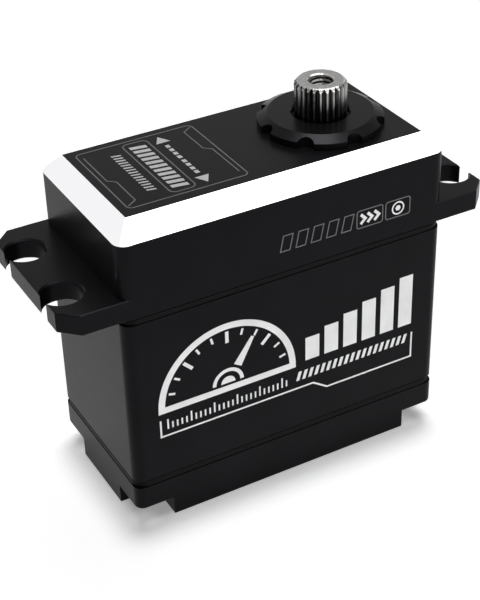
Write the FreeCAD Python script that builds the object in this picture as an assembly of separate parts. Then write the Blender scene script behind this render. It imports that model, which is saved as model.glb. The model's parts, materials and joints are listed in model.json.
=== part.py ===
import FreeCAD, Part
import math
import os

# Standard-size hobby servo in a machined aluminium case, in millimetres.
# +X is the long side towards the output shaft, +Y the short side, +Z up along the output shaft.
# The origin is the centre of the case's footprint, on the plane that the bottom cover rests on.

V = FreeCAD.Vector
UP = V(0, 0, 1)

# --- case -----------------------------------------------------------------------------------
CASE_LENGTH = 40.5
CASE_WIDTH = 20.2
CASE_TOP = 39.25
CASE_CORNER = 1.3                 # vertical corner radius
BEVEL = 2.05                      # 45 degree cut round the top
BEVEL_MITRE = 0.05                # corner radius of the cut above the point where the corner cones run out
UPPER_FOOT = 28.15                # underside of the upper case
MID_TOP = 27.4
MID_FOOT = 6.3
COVER_TOP = 5.45
COVER_CORNER = 1.1
EDGE_BREAK = 0.15                 # small chamfer on machined edges
SEAM_BREAK = 0.08                 # smaller chamfer at the joints of the case
INNER_LENGTH = 37.3
INNER_WIDTH = 16.8
INNER_CORNER = 1.0
CEILING = 37.3                    # underside of the upper case's roof
DECK_TOP = 27.0                   # floor of the gear chamber
DECK_FOOT = 25.0
COVER_FLOOR = 1.4
COVER_LEDGE = 4.2                 # ledges in the cover that carry the circuit board
COVER_EDGE = 0.3                  # rounding of the cover's lower edges
NOTCH_X = 4.5                     # corner pockets for the screw heads
NOTCH_Y = 5.05
NOTCH_HEIGHT = 2.4
LEDGE_WALL = 1.2
GASKET_INSET = 0.04               # from the case's faces to the gaskets' lips
GASKET_CORNER = 1.8
GROOVE_DEPTH = 0.35               # fine grooves above and below each lip
GROOVE_HEIGHT = 0.1

# --- mounting lugs ----------------------------------------------------------------------------
LUG_FOOT = 28.25
LUG_TOP = 30.75
LUG_REACH = 26.9
LUG_CHAMFER = 2.0
LUG_EDGE = 0.2
LUG_HOLE_X = 24.75
LUG_HOLE_Y = 5.0
LUG_HOLE_RADIUS = 2.3
LUG_RIM = 0.2

# --- case screws --------------------------------------------------------------------------------
SCREW_X = 17.8
SCREW_Y = 7.4
SCREW_RADIUS = 1.0
SCREW_CLEARANCE = 1.1
SCREW_TOP = 34.5
SCREW_HEAD_RADIUS = 1.6
SCREW_HEAD_HEIGHT = 1.5
SCREW_SINK = 1.65                 # depth of the counterbore that each head sits in
SCREW_SINK_RADIUS = 1.75
SCREW_SOCKET = 0.75               # half the hexagon's width across flats
SCREW_SOCKET_DEPTH = 1.0
SCREW_HEAD_EDGE = 0.2
SCREW_TIP_ROOM = 0.2              # left free in the hole above each screw's tip
PILLAR_RADIUS = 2.2

# --- gear train: teeth, modules and axes --------------------------------------------------------
PRESSURE_ANGLE = math.radians(25)
ADDENDUM = 0.8                    # in modules: stub teeth
DEDENDUM = 1.05
TOOTH_GAP = 0.05                  # backlash of each pair at the pitch circle
STAGE_1 = {"module": 0.30, "pinion": 10, "wheel": 48}
STAGE_2 = {"module": 0.35, "pinion": 10, "wheel": 44}
STAGE_3 = {"module": 0.35, "pinion": 14, "wheel": 40}
STAGE_4 = {"module": 0.45, "pinion": 10, "wheel": 32}


def centre_distance(stage):
    return stage["module"] * (stage["pinion"] + stage["wheel"]) / 2


OUTPUT_X = 10.0
PIN_X = OUTPUT_X - centre_distance(STAGE_4)
MOTOR_X = PIN_X - centre_distance(STAGE_1)
GEAR_PIN_RADIUS = 1.0
GEAR_PIN_FOOT = DECK_FOOT + 0.4
GEAR_PIN_TOP = CEILING + 1.0
RUNNING = 0.03                    # radial clearance of a gear on its pin or shaft

# levels of the four meshes, bottom to top
WHEEL_1 = (27.3, 28.8)
PINION_1 = (28.8, 30.75)
WHEEL_2 = (29.1, 30.6)
PINION_2 = (30.6, 32.55)
WHEEL_3 = (30.95, 32.4)
PINION_3 = (32.4, 35.2)
OUTPUT_GEAR = (32.75, 35.05)
MOTOR_PINION = (27.2, 28.9)
HUB_1 = (27.15, 1.9)              # foot and radius of each pinion's hub in its wheel
HUB_2 = (28.95, 2.3)
HUB_3 = (30.8, 2.2)
WEB_DEPTH = 0.3                   # turned recess in each face of a wheel
WEB_RIM = 0.8
WEB_HOLES = 6
WEB_HOLE_RADIUS = 1.1             # at most
WASHERS = ((DECK_TOP, HUB_1[0] - RUNNING, 2.2), (PINION_3[1] + 0.05, PINION_3[1] + 0.25, 1.8))
PIN_BOSS_RADIUS = 1.9
PIN_BOSS_FOOT = PINION_3[1] + 0.3

# --- output shaft -------------------------------------------------------------------------------
SHAFT_TOP = 44.45
SHAFT_FOOT = 21.8
JOURNAL_RADIUS = 1.5
GEAR_SEAT_RADIUS = 3.4
GEAR_SEAT_FOOT = 32.65
UPPER_JOURNAL_RADIUS = 3.0
SPLINE_FOOT = 39.9
SPLINE_TEETH = 25
SPLINE_TIP = 2.98
SPLINE_ROOT = 2.62
SPLINE_VALLEY = 0.16              # share of a tooth's pitch that its valley, flank and crest take up
SPLINE_FLANK = 0.3
SPLINE_CREST = 0.24
SPLINE_CHAMFER = 0.4
SPLINE_ROOM = 0.1                 # how far the turned shape that cuts the chamfer stands off the tips
HORN_BORE = 1.25                  # tapping size of M3
HORN_BORE_DEPTH = 8.0
HORN_COUNTERSINK = 0.3
STOP_PIN_RADIUS = 0.4
STOP_PIN_REACH = 6.2
STOP_PIN_FOOT = OUTPUT_GEAR[0] + 0.5
STOP_PIN_TOP = 36.8
STOP_REACH = 9.5
STOP_ANGLE = 95.0                 # the stop pin meets a stop at this angle either way
STOP_WIDTH = 11.0                 # in degrees
SPACER_RADIUS = 1.88
SPACER_TOP = HUB_2[0] - 0.05

# --- bearings -----------------------------------------------------------------------------------
UPPER_BEARING = {"bore": 3.0, "outer": 5.0, "foot": 35.6, "top": 38.1, "race": 0.55, "ball": 0.6, "count": 9}
LOWER_BEARING = {"bore": 1.5, "outer": 3.0, "foot": 24.6, "top": 27.0, "race": 0.42, "ball": 0.45, "count": 7}
BALL_CLEARANCE = 0.02
CAGE_HALF = 0.15                  # half the cage band's thickness
CAGE_RIM = 0.2
CAGE_CLEARANCE = 0.05
BOSS_RADIUS = 5.7
BOSS_FOOT = 35.3
UPPER_LIP = 4.4                   # bore of the lip under each bearing
LOWER_LIP = 2.4

# --- shaft retainer ring ------------------------------------------------------------------------
RING_THREAD_RADIUS = 5.8
RING_BORE = 3.3
RING_RADIUS = 7.2
RING_RIM_HEIGHT = 0.8             # above the case, at the outer edge
RING_FLAT_HEIGHT = 1.4            # above the case, on the flat
RING_FLAT_RADIUS = 6.0
RING_NOTCHES = 8
RING_NOTCH_RADIUS = 1.0
RING_NOTCH_REACH = 7.4
SEAL_RADIUS = 0.52
SEAL_CENTRE = 3.56
SEAL_HEIGHT = 39.3
SEAL_GROOVE = 4.1
SEAL_GROOVE_HALF = 0.55

# --- motor --------------------------------------------------------------------------------------
MOTOR_RADIUS = 7.9
MOTOR_WALL = 0.6
MOTOR_FOOT = 7.0
CAN_FOOT = 8.0
CAN_PLATE = 24.0                  # underside of the can's front plate
MOTOR_SHAFT_RADIUS = 0.75
MOTOR_SHAFT_FOOT = 7.4
BUSHING_RADIUS = 1.6
BUSHING_BORE = 0.78
MOTOR_BOSS_RADIUS = 2.2
MOTOR_BOSS_TOP = 25.8
MOTOR_HOLE = 2.3
MOTOR_SCREW_REACH = 5.0
MOTOR_SCREW_RADIUS = 0.8
MOTOR_SCREW_HEAD = 1.6
MOTOR_SCREW_SEAT = DECK_TOP - 1.0
MOTOR_SCREW_TOP = DECK_TOP - 0.05
MOTOR_SCREW_FOOT = CAN_PLATE + 0.1
MOTOR_SCREW_CROSS = (1.1, 0.2, 0.45)     # half length, half width and depth of each slot of the cross
CAN_EDGE = 0.6
FRONT_BUSHING_FOOT = CAN_PLATE - 0.4
REAR_BUSHING = (MOTOR_FOOT + 0.3, 8.8)
END_CAP_SPIGOT = 1.0              # how far the end cap reaches into the can
TERMINAL_Y = 5.6
TERMINAL_HALF = (0.7, 0.2)
TERMINAL_TOP = 9.6
BRUSH_HALF = 0.6
BRUSH = (9.35, 10.55)
BRUSH_LEAF_HALF = 0.4
BRUSH_LEAF = (9.3, 9.5)
BRUSH_REACH = (1.95, 3.3, 5.4)    # commutator side of the brush, its back, and the end of its leaf
MAGNET = (11.0, 23.0)
MAGNET_INNER = 5.65
MAGNET_SPAN = 130.0
ARMATURE_RADIUS = 5.2
ARMATURE = (12.0, 21.0)
POLES = 5
CORE_HUB = 2.0
SPOKE_REACH = (1.8, 4.6)
SPOKE_HALF = 0.6
SHOE_INNER = 4.4
SHOE_SPAN = 60.0
COIL_REACH = (2.35, 4.25)
COIL_HALF = 1.45
COIL_END = 1.1                    # how far the coils stand out of the core at each end
COIL_EDGE = 0.5
COMMUTATOR = (9.2, 10.75)
COMMUTATOR_RADIUS = 1.9
COMMUTATOR_SLIT = (1.5, 0.08)     # inner end and half width

# --- position sensor ----------------------------------------------------------------------------
SENSOR_RADIUS = 5.0
SENSOR = (15.5, 21.0)
SENSOR_WALL = 0.7
SENSOR_POCKET = 5.05
SENSOR_BOSS = 6.2
SENSOR_BOSS_FOOT = 17.0
SENSOR_SHAFT_RADIUS = 1.0
SENSOR_SHAFT_TOP = 23.8
SENSOR_SOCKET_TOP = 24.0
SENSOR_FLAT = 0.6
SENSOR_ROWS = (-2.0, 0.0, 2.0)
SENSOR_PLATE = 0.8                # thickness of the housing's top and bottom
SENSOR_BORE = 1.05
SENSOR_TAB = (0.4, 0.3)           # height above the housing's foot, and thickness
SENSOR_TAB_HALF = 0.4
SENSOR_TAB_REACH = 6.4
TRACK = (1.6, 4.1)
TRACK_THICKNESS = 0.3
WIPER_RADIUS = 3.4
WIPER_FOOT = SENSOR[0] + 1.4
WIPER_CARRIER = (SENSOR[0] + 1.9, SENSOR[0] + 2.7)
WIPER_NECK = SENSOR[1] + 0.1
CONTACT_ARM = (1.3, 3.3)
CONTACT_HALF = 0.5
CONTACT_THICKNESS = 0.15
CONTACT_TIP_REACH = 2.9
CONTACT_TIP_RADIUS = 0.35
CONTACT_TIP_HEIGHT = SENSOR[0] + 1.48
CONTACT_STEM = 0.2
WIRE_RADIUS = 0.35
WIRE_BEND = 2.5
WIRE_X = OUTPUT_X + 5.9
WIRE_BULGE = 1.1                  # how far the leads bow outwards on their way down

# --- circuit board ------------------------------------------------------------------------------
BOARD = (4.2, 5.2)
BOARD_LENGTH = 36.4
BOARD_WIDTH = 16.0
BOARD_CORNER = 2.45
CONTROL_CHIP = (-8.5, 0.0, 7.0, 7.0, 0.9)          # centre x and y, length, width and height
TRANSISTOR_SIZE = (5.0, 4.0, 1.4)
TRANSISTOR_X = (0.5, 7.5)
TRANSISTOR_Y = (-2.6, 2.6)
PASSIVE_UNDER = (1.6, 0.8, 0.5)
PASSIVE_UNDER_X = (-13.0, -2.9, 12.2)
PASSIVE_UNDER_Y = (-2.4, -0.8, 0.8, 2.4)
PASSIVE_ABOVE = (1.0, 1.6, 0.5)
PASSIVE_ABOVE_X = (2.0, 4.0, 6.0, 8.0)
PASSIVE_ABOVE_Y = -5.6
CAPACITOR = (3.0, 4.6)
CAPACITOR_RADIUS = 2.2
CAPACITOR_TOP = 12.0
CAPACITOR_EDGE = 0.4
PAD_X = 17.2
PAD_Y = (-1.3, 0.0, 1.3)
PAD_SIZE = (1.6, 0.9, 0.1)

# --- cable inlet --------------------------------------------------------------------------------
INLET_HALF_WIDTH = 2.8
INLET_TOP = 8.6
INLET_SLOT_HALF = 1.95
INLET_SLOT = (6.6, 7.9)
INLET_INNER = 17.0                # inner end of the opening
GROMMET_INNER = 18.3              # inner end of the part that fills the opening
FLANGE_INNER = 17.7
FLANGE_HALF_WIDTH = 3.5
FLANGE_TOP = 9.4
BEAD_REACH = 0.8                  # how far the bead stands out of the end wall
BEAD_HALF_WIDTH = 2.45
BEAD = (6.25, 8.3)
BEAD_EDGE = 0.35


# ================================================================================================
# shapes used by several pieces
# ================================================================================================
def cylinder(radius, foot, top, x=0.0, y=0.0):
    return Part.makeCylinder(radius, top - foot, V(x, y, foot))


def tube(outer, inner, foot, top, x=0.0, y=0.0):
    return cylinder(outer, foot, top, x, y).cut(cylinder(inner, foot, top, x, y))


def box(x0, x1, y0, y1, z0, z1):
    return Part.makeBox(x1 - x0, y1 - y0, z1 - z0, V(x0, y0, z0))


def outline(length, width, radius, z):
    """A rectangle with round corners, centred on the Z axis, as a wire."""
    a = length / 2
    b = width / 2
    k = radius * (1 - math.sqrt(0.5))
    corners = [(a, b, 1, 1), (-a, b, -1, 1), (-a, -b, -1, -1), (a, -b, 1, -1)]
    edges = []
    for i, (x, y, sx, sy) in enumerate(corners):
        along_y = V(x, y - sy * radius, z)
        along_x = V(x - sx * radius, y, z)
        start, end = (along_y, along_x) if i % 2 == 0 else (along_x, along_y)
        edges.append(Part.Arc(start, V(x - sx * k, y - sy * k, z), end).toShape())
    sides = []
    for i, edge in enumerate(edges):
        following = edges[(i + 1) % 4]
        sides.append(edge)
        end = edge.valueAt(edge.LastParameter)
        sides.append(Part.makeLine(end, following.valueAt(following.FirstParameter)))
    return Part.Wire(sides)


def rounded_box(length, width, radius, foot, top):
    return Part.Face(outline(length, width, radius, foot)).extrude(V(0, 0, top - foot))


def at_corners(x, y):
    """The four points (+-x, +-y)."""
    return [(sx * x, sy * y) for sx in (-1, 1) for sy in (-1, 1)]


def revolved(profile, x=0.0, y=0.0):
    """The solid that a closed list of (radius, height) points sweeps round a vertical axis at x, y."""
    points = [V(x + r, y, z) for r, z in profile]
    face = Part.Face(Part.makePolygon(points + points[:1]))
    return face.revolve(V(x, y, 0), UP, 360)


def edges_at(shape, *heights):
    """The edges that lie wholly at one of these heights."""
    found = []
    for edge in shape.Edges:
        bounds = edge.BoundBox
        if any(abs(bounds.ZMin - z) < 1e-4 and abs(bounds.ZMax - z) < 1e-4 for z in heights):
            found.append(edge)
    return found


def polar(radius, angle):
    return V(radius * math.cos(angle), radius * math.sin(angle), 0)


def arc(a, b, c):
    return Part.Arc(a, b, c).toShape()


# ================================================================================================
# gears
# ================================================================================================
def involute(angle):
    return math.tan(angle) - angle


def gear_face(module, teeth, phase):
    """A stub-tooth involute gear as a flat face. One tooth is centred on the phase angle."""
    pitch = module * teeth / 2
    base = pitch * math.cos(PRESSURE_ANGLE)
    root = pitch - DEDENDUM * module
    tip = pitch + ADDENDUM * module
    start = max(base, root)
    half_at_pitch = (math.pi * module - TOOTH_GAP) / (4 * pitch)

    def half(radius):
        return half_at_pitch + involute(PRESSURE_ANGLE) - involute(math.acos(base / radius))

    middle = (start + tip) / 2
    step = 2 * math.pi / teeth
    edges = []
    for i in range(teeth):
        centre = phase + i * step
        right = [polar(r, centre - half(r)) for r in (start, middle, tip)]
        left = [polar(r, centre + half(r)) for r in (tip, middle, start)]
        foot_right = polar(root, centre - half(start))
        foot_left = polar(root, centre + half(start))
        next_foot = polar(root, centre + step - half(start))
        if start > root:
            edges.append(Part.makeLine(foot_right, right[0]))
        edges.append(arc(*right))
        edges.append(arc(right[2], polar(tip, centre), left[0]))
        edges.append(arc(*left))
        if start > root:
            edges.append(Part.makeLine(left[2], foot_left))
        edges.append(arc(foot_left, polar(root, centre + step / 2), next_foot))
    return Part.Face(Part.Wire(edges))


def gear(module, teeth, bore, levels, x, phase):
    solid = gear_face(module, teeth, phase).extrude(V(0, 0, levels[1] - levels[0]))
    solid.translate(V(x, 0, levels[0]))
    return solid.cut(cylinder(bore, *levels, x))


def meshed_phase(driver_teeth, driver_phase, teeth, direction):
    """The phase that puts a gear in mesh with its driver. direction is the angle from driver to gear."""
    return direction + math.pi + math.pi / teeth - driver_teeth / teeth * (driver_phase - direction)


TOWARDS_OUTPUT = 0.0
TOWARDS_MOTOR = math.pi
MOTOR_PHASE = 0.0
PHASE_1 = meshed_phase(STAGE_1["pinion"], MOTOR_PHASE, STAGE_1["wheel"], TOWARDS_OUTPUT)
PHASE_2 = meshed_phase(STAGE_2["pinion"], PHASE_1, STAGE_2["wheel"], TOWARDS_OUTPUT)
PHASE_3 = meshed_phase(STAGE_3["pinion"], PHASE_2, STAGE_3["wheel"], TOWARDS_MOTOR)
PHASE_4 = meshed_phase(STAGE_4["pinion"], PHASE_3, STAGE_4["wheel"], TOWARDS_OUTPUT)


def wheel(stage, levels, bore, x, phase):
    """A compound gear's large wheel, with a turned recess in both faces and a ring of lightening holes."""
    module = stage["module"]
    solid = gear(module, stage["wheel"], bore, levels, x, phase)
    rim = module * stage["wheel"] / 2 - DEDENDUM * module - WEB_RIM
    hub = bore + WEB_RIM
    recesses = [
        tube(rim, hub, levels[0], levels[0] + WEB_DEPTH, x),
        tube(rim, hub, levels[1] - WEB_DEPTH, levels[1], x),
    ]
    hole = min((rim - hub) / 2 - WEB_DEPTH, WEB_HOLE_RADIUS)
    for i in range(WEB_HOLES):
        centre = polar((rim + hub) / 2, i * 2 * math.pi / WEB_HOLES)
        recesses.append(cylinder(hole, *levels, x + centre.x, centre.y))
    return solid.cut(recesses)


def pinion(stage, levels, hub, bore, x, phase):
    """A compound gear's steel pinion, with the plain hub that its wheel is pressed on."""
    teeth = gear(stage["module"], stage["pinion"], bore, levels, x, phase)
    foot, radius = hub
    return teeth.fuse(tube(radius, bore, foot, levels[0], x)).removeSplitter()


def first_gear_wheel():
    return wheel(STAGE_1, WHEEL_1, HUB_1[1], PIN_X, PHASE_1)


def first_gear_pinion():
    return pinion(STAGE_2, PINION_1, HUB_1, GEAR_PIN_RADIUS + RUNNING, PIN_X, PHASE_1)


def second_gear_wheel():
    return wheel(STAGE_2, WHEEL_2, HUB_2[1], OUTPUT_X, PHASE_2)


def second_gear_pinion():
    return pinion(STAGE_3, PINION_2, HUB_2, JOURNAL_RADIUS + RUNNING, OUTPUT_X, PHASE_2)


def third_gear_wheel():
    return wheel(STAGE_3, WHEEL_3, HUB_3[1], PIN_X, PHASE_3)


def third_gear_pinion():
    return pinion(STAGE_4, PINION_3, HUB_3, GEAR_PIN_RADIUS + RUNNING, PIN_X, PHASE_3)


def output_gear():
    solid = gear(STAGE_4["module"], STAGE_4["wheel"], GEAR_SEAT_RADIUS, OUTPUT_GEAR, OUTPUT_X, PHASE_4)
    return solid.cut(output_stop_pin())


def motor_pinion():
    return gear(STAGE_1["module"], STAGE_1["pinion"], MOTOR_SHAFT_RADIUS, MOTOR_PINION, MOTOR_X, MOTOR_PHASE)


def gear_pin():
    pin = cylinder(GEAR_PIN_RADIUS, GEAR_PIN_FOOT, GEAR_PIN_TOP, PIN_X)
    return pin.makeChamfer(EDGE_BREAK, edges_at(pin, GEAR_PIN_FOOT, GEAR_PIN_TOP))


def gear_pin_washers():
    found = [tube(radius, GEAR_PIN_RADIUS, foot, top, PIN_X) for foot, top, radius in WASHERS]
    return Part.makeCompound(found)


# ================================================================================================
# case
# ================================================================================================
def pillars(foot, top):
    return [cylinder(PILLAR_RADIUS, foot, top, x, y) for x, y in at_corners(SCREW_X, SCREW_Y)]


def screw_holes(radius, foot, top):
    return [cylinder(radius, foot, top, x, y) for x, y in at_corners(SCREW_X, SCREW_Y)]


def cavity(foot, top):
    """The space between the case walls, with the four screw pillars left standing in its corners."""
    return rounded_box(INNER_LENGTH, INNER_WIDTH, INNER_CORNER, foot, top).cut(pillars(foot, top))


def stops():
    """Two blocks under the roof, one each side, that the stop pin meets."""
    pin_half = math.degrees(math.asin(STOP_PIN_RADIUS / STOP_PIN_REACH))
    found = []
    for side in (-1, 1):
        block = Part.makeCylinder(STOP_REACH, CEILING - BOSS_FOOT, V(0, 0, BOSS_FOOT), UP, STOP_WIDTH)
        first = STOP_ANGLE + pin_half if side > 0 else -STOP_ANGLE - pin_half - STOP_WIDTH
        block.rotate(V(0, 0, 0), UP, first)
        block.translate(V(OUTPUT_X, 0, 0))
        found.append(block)
    return found


def lug_plate():
    """The plate that carries both pairs of mounting lugs, with cut corners."""
    x = LUG_REACH
    y = CASE_WIDTH / 2
    c = LUG_CHAMFER
    right = [(x - c, -y), (x, -y + c), (x, y - c), (x - c, y)]
    corners = right + [(-px, py) for px, py in reversed(right)]
    points = [V(px, py, LUG_FOOT) for px, py in corners]
    plate = Part.Face(Part.makePolygon(points + points[:1])).extrude(V(0, 0, LUG_TOP - LUG_FOOT))
    plate = plate.makeFillet(LUG_EDGE, edges_at(plate, LUG_FOOT, LUG_TOP))
    holes = []
    for hx, hy in at_corners(LUG_HOLE_X, LUG_HOLE_Y):
        wide = LUG_HOLE_RADIUS + LUG_RIM
        holes.append(cylinder(LUG_HOLE_RADIUS, LUG_FOOT, LUG_TOP, hx, hy))
        holes.append(Part.makeCone(wide, LUG_HOLE_RADIUS, LUG_RIM, V(hx, hy, LUG_FOOT)))
        holes.append(Part.makeCone(LUG_HOLE_RADIUS, wide, LUG_RIM, V(hx, hy, LUG_TOP - LUG_RIM)))
    return plate.cut(holes)


def bevelled_top():
    """The top of the case: a cone at each corner up to where its radius runs out, and mitres above that."""
    outlines = []
    for inset in (0.0, CASE_CORNER - BEVEL_MITRE, BEVEL):
        radius = max(CASE_CORNER - inset, BEVEL_MITRE)
        height = CASE_TOP - BEVEL + inset
        outlines.append(outline(CASE_LENGTH - 2 * inset, CASE_WIDTH - 2 * inset, radius, height))
    return Part.makeLoft(outlines, True, True)


def upper_case():
    walls = rounded_box(CASE_LENGTH, CASE_WIDTH, CASE_CORNER, UPPER_FOOT, CASE_TOP - BEVEL)
    walls = walls.makeChamfer(SEAM_BREAK, edges_at(walls, UPPER_FOOT))
    body = walls.fuse([bevelled_top(), lug_plate()]).removeSplitter()
    chamber = cavity(UPPER_FOOT, CEILING)
    bosses = [
        cylinder(BOSS_RADIUS, BOSS_FOOT, CEILING, OUTPUT_X),
        cylinder(PIN_BOSS_RADIUS, PIN_BOSS_FOOT, CEILING, PIN_X),
    ]
    chamber = chamber.cut(bosses + stops())
    bores = [
        cylinder(UPPER_LIP, BOSS_FOOT, UPPER_BEARING["foot"], OUTPUT_X),
        cylinder(UPPER_BEARING["outer"], UPPER_BEARING["foot"], UPPER_BEARING["top"], OUTPUT_X),
        cylinder(RING_THREAD_RADIUS, UPPER_BEARING["top"], CASE_TOP, OUTPUT_X),
        cylinder(GEAR_PIN_RADIUS, PIN_BOSS_FOOT, GEAR_PIN_TOP, PIN_X),
    ]
    return body.cut([chamber] + bores + screw_holes(SCREW_RADIUS, UPPER_FOOT, SCREW_TOP + SCREW_TIP_ROOM))


def middle_case():
    body = rounded_box(CASE_LENGTH, CASE_WIDTH, CASE_CORNER, MID_FOOT, MID_TOP)
    body = body.makeChamfer(SEAM_BREAK, edges_at(body, MID_FOOT))
    below = cavity(MID_FOOT, DECK_FOOT).cut(cylinder(SENSOR_BOSS, SENSOR_BOSS_FOOT, DECK_FOOT, OUTPUT_X))
    bores = [
        cylinder(SENSOR_POCKET, SENSOR_BOSS_FOOT, SENSOR[1], OUTPUT_X),
        cylinder(LOWER_LIP, SENSOR[1], LOWER_BEARING["foot"], OUTPUT_X),
        cylinder(LOWER_BEARING["outer"], LOWER_BEARING["foot"], DECK_TOP, OUTPUT_X),
        cylinder(MOTOR_HOLE, DECK_FOOT, DECK_TOP, MOTOR_X),
        cylinder(GEAR_PIN_RADIUS, GEAR_PIN_FOOT, DECK_TOP, PIN_X),
        cavity(DECK_TOP, MID_TOP),
        box(INLET_INNER, CASE_LENGTH / 2, -INLET_HALF_WIDTH, INLET_HALF_WIDTH, MID_FOOT, INLET_TOP),
    ]
    for y in (-MOTOR_SCREW_REACH, MOTOR_SCREW_REACH):
        bores.append(cylinder(MOTOR_SCREW_RADIUS, DECK_FOOT, DECK_TOP, MOTOR_X, y))
        bores.append(cylinder(MOTOR_SCREW_HEAD + RUNNING, MOTOR_SCREW_SEAT, DECK_TOP, MOTOR_X, y))
    return body.cut([below] + bores + screw_holes(SCREW_CLEARANCE, MID_FOOT, MID_TOP))


def corner_blocks(size_x, size_y, foot, top):
    """Four boxes that fill the case's corners, measured in from its outer faces."""
    x = CASE_LENGTH / 2
    y = CASE_WIDTH / 2
    found = []
    for sx, sy in at_corners(1, 1):
        xs = sorted((sx * (x - size_x), sx * x))
        ys = sorted((sy * (y - size_y), sy * y))
        found.append(box(xs[0], xs[1], ys[0], ys[1], foot, top))
    return found


def bottom_cover():
    body = rounded_box(CASE_LENGTH, CASE_WIDTH, COVER_CORNER, 0, COVER_TOP)
    body = body.cut(corner_blocks(NOTCH_X, NOTCH_Y, 0, NOTCH_HEIGHT))
    body = body.makeFillet(COVER_EDGE, edges_at(body, 0) + outer_notch_edges(body))
    inside = cavity(COVER_FLOOR, COVER_TOP)
    inside = inside.cut(corner_blocks(NOTCH_X + LEDGE_WALL, NOTCH_Y + LEDGE_WALL, COVER_FLOOR, COVER_LEDGE))
    sinks = screw_holes(SCREW_SINK_RADIUS, NOTCH_HEIGHT, NOTCH_HEIGHT + SCREW_SINK)
    return body.cut([inside] + sinks + screw_holes(SCREW_CLEARANCE, NOTCH_HEIGHT, COVER_TOP))


def outer_notch_edges(body):
    """The lower edges of the cover's corner blocks that lie on its outer faces."""
    found = []
    for edge in edges_at(body, NOTCH_HEIGHT):
        middle = edge.valueAt((edge.FirstParameter + edge.LastParameter) / 2)
        reach = max(abs(middle.x) - CASE_LENGTH / 2, abs(middle.y) - CASE_WIDTH / 2)
        if reach > -COVER_CORNER / 2:
            found.append(edge)
    return found


def gasket(foot, top):
    """A flat seal whose lip comes out almost to the case's faces, with a groove above and below the lip."""
    body = inset_band(GROOVE_DEPTH, foot, top)
    lip = inset_band(GASKET_INSET, foot + GROOVE_HEIGHT, top - GROOVE_HEIGHT)
    lip = lip.makeChamfer(SEAM_BREAK, edges_at(lip, top - GROOVE_HEIGHT))
    return body.fuse(lip).cut([cavity(foot, top)] + screw_holes(SCREW_CLEARANCE, foot, top))


def inset_band(inset, foot, top):
    return rounded_box(CASE_LENGTH - 2 * inset, CASE_WIDTH - 2 * inset, GASKET_CORNER - inset, foot, top)


def upper_gasket():
    return gasket(MID_TOP, UPPER_FOOT)


def lower_gasket():
    return gasket(COVER_TOP, MID_FOOT)


def hexagon(half_width, foot, top, x, y):
    corner = half_width / math.cos(math.pi / 6)
    points = [V(x, y, foot) + polar(corner, i * math.pi / 3) for i in range(7)]
    return Part.Face(Part.makePolygon(points)).extrude(V(0, 0, top - foot))


def case_screws():
    found = []
    for x, y in at_corners(SCREW_X, SCREW_Y):
        seat = NOTCH_HEIGHT + SCREW_SINK
        head_foot = seat - SCREW_HEAD_HEIGHT
        head = cylinder(SCREW_HEAD_RADIUS, head_foot, seat, x, y)
        head = head.makeFillet(SCREW_HEAD_EDGE, edges_at(head, head_foot))
        socket = hexagon(SCREW_SOCKET, head_foot, head_foot + SCREW_SOCKET_DEPTH, x, y)
        shank = cylinder(SCREW_RADIUS, seat, SCREW_TOP, x, y)
        found.append(head.cut(socket).fuse(shank))
    return Part.makeCompound(found)


def shaft_retainer_ring():
    """The threaded ring that holds the upper bearing and the seal, with notches for a pin wrench."""
    flat = CASE_TOP + RING_FLAT_HEIGHT
    rim = CASE_TOP + RING_RIM_HEIGHT
    profile = [
        (RING_BORE, UPPER_BEARING["top"]),
        (RING_THREAD_RADIUS, UPPER_BEARING["top"]),
        (RING_THREAD_RADIUS, CASE_TOP),
        (RING_RADIUS, CASE_TOP),
        (RING_RADIUS, rim),
        (RING_FLAT_RADIUS, flat),
        (RING_BORE + EDGE_BREAK, flat),
        (RING_BORE, flat - EDGE_BREAK),
    ]
    ring = revolved(profile, OUTPUT_X)
    cuts = [cylinder(SEAL_GROOVE, SEAL_HEIGHT - SEAL_GROOVE_HALF, SEAL_HEIGHT + SEAL_GROOVE_HALF, OUTPUT_X)]
    for i in range(RING_NOTCHES):
        centre = polar(RING_NOTCH_REACH, i * 2 * math.pi / RING_NOTCHES)
        cuts.append(cylinder(RING_NOTCH_RADIUS, CASE_TOP, flat, OUTPUT_X + centre.x, centre.y))
    return ring.cut(cuts)


def shaft_oil_seal():
    return Part.makeTorus(SEAL_CENTRE, SEAL_RADIUS, V(OUTPUT_X, 0, SEAL_HEIGHT))


def cable_grommet():
    """The rubber inlet for the lead in the end wall. The lead itself isn't part of the model."""
    wall = CASE_LENGTH / 2
    end = wall + BEAD_REACH
    body = box(GROMMET_INNER, wall, -INLET_HALF_WIDTH, INLET_HALF_WIDTH, MID_FOOT, INLET_TOP)
    flange = box(FLANGE_INNER, INNER_LENGTH / 2, -FLANGE_HALF_WIDTH, FLANGE_HALF_WIDTH, MID_FOOT, FLANGE_TOP)
    bead = box(wall, end, -BEAD_HALF_WIDTH, BEAD_HALF_WIDTH, *BEAD)
    bead = bead.makeFillet(BEAD_EDGE, [edge for edge in bead.Edges if edge.BoundBox.XMax > end - BEAD_EDGE])
    middle = (INLET_SLOT[0] + INLET_SLOT[1]) / 2
    radius = (INLET_SLOT[1] - INLET_SLOT[0]) / 2
    reach = INLET_SLOT_HALF - radius
    slot = [box(FLANGE_INNER, end, -reach, reach, *INLET_SLOT)]
    for y in (-reach, reach):
        slot.append(Part.makeCylinder(radius, end - FLANGE_INNER, V(FLANGE_INNER, y, middle), V(1, 0, 0)))
    return body.fuse([flange, bead]).cut(slot)


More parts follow.
